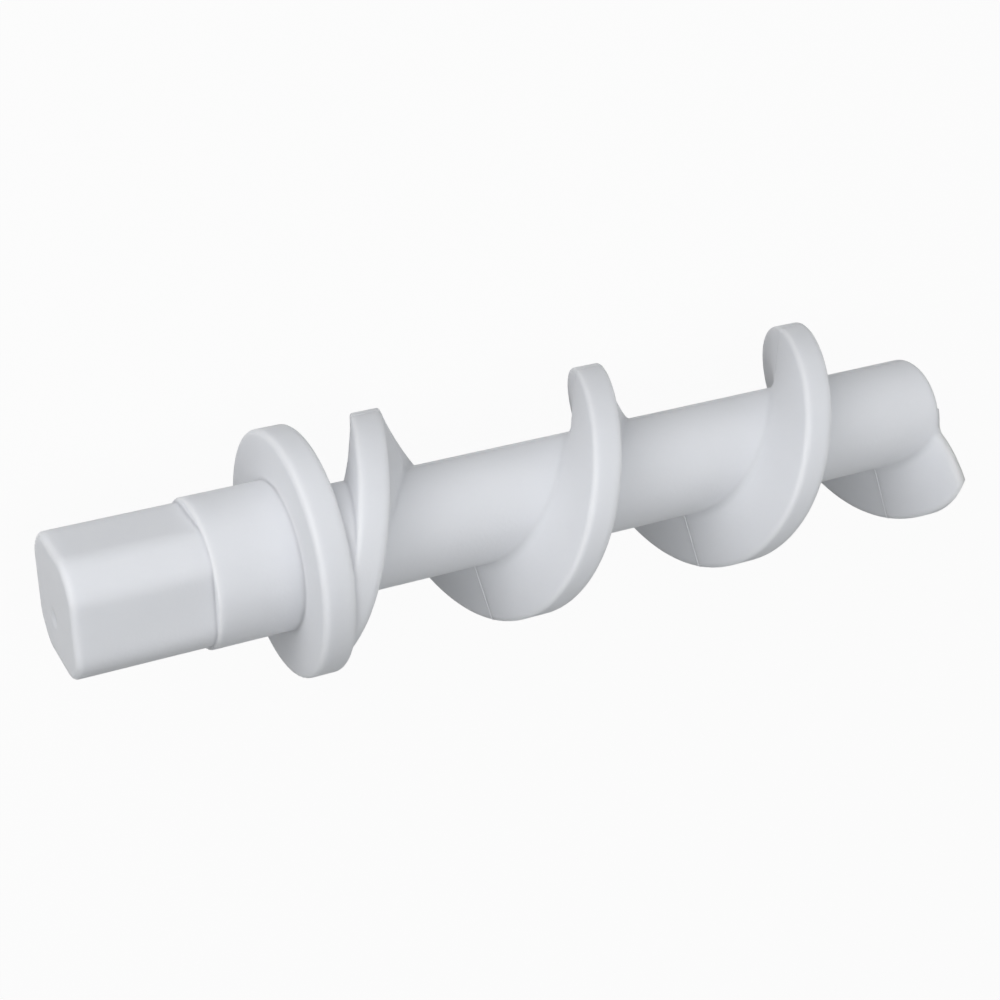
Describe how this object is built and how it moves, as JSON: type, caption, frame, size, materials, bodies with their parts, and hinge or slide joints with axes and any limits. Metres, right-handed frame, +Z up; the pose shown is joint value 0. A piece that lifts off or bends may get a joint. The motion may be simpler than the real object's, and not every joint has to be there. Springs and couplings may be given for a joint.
{
  "type": "tomato press auger",
  "caption": "Moulded plastic feed screw of a tomato press: left-hand flight on a round shaft, thrust collar, bearing journal and square drive end.",
  "frame": {"origin": "on the auger's axis, at the collar's thrust face, where the journal ends", "axes": "+X along the axis from the square drive end towards the screw's free end, +Z up with the auger lying at rest on its collar and flight"},
  "size_m": [0.2028, 0.0514, 0.0514],
  "materials": {
    "plastic": "satin"
  },
  "bodies": {
    "root": {"auger": "plastic"}
  },
  "joints": []
}
